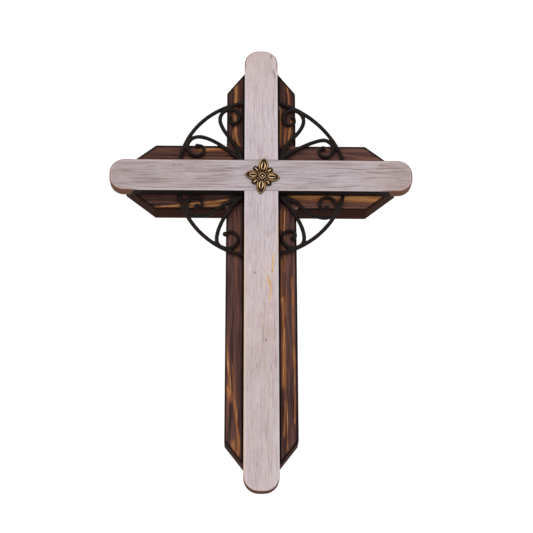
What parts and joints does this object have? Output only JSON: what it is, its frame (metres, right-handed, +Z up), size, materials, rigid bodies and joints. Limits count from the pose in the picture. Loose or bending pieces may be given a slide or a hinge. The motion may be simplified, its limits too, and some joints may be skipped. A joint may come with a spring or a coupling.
{
  "type": "wooden wall cross",
  "caption": "Wall cross of a narrow round-ended cross on a wider clipped-corner cross, with scrolled rods inside a ring at the crossing and a four-petal rosette.",
  "frame": {"origin": "middle of the mouth of the hanging hole, in the flat back of the back upright", "axes": "+X to the viewer's right along the arms, +Y into the wall, so the front faces -Y, +Z up along the upright"},
  "size_m": [0.2758, 0.0368, 0.4186],
  "materials": {
    "burnt_wood": "torched pine with pale grain streaks, satin to matt",
    "whitewashed_wood": "thin lilac-grey whitewash over bare wood, matt, worn at the edges",
    "black_iron": "satin black",
    "old_brass": "antiqued brass, dark in the recesses and rubbed bright on the ridges"
  },
  "bodies": {
    "root": {"back_upright": "burnt_wood", "back_crossbar": "burnt_wood", "front_upright": "whitewashed_wood", "front_crossbar": "whitewashed_wood", "scroll_upper_left": "black_iron", "scroll_upper_right": "black_iron", "scroll_lower_left": "black_iron", "scroll_lower_right": "black_iron", "rosette": "old_brass"}
  },
  "joints": []
}
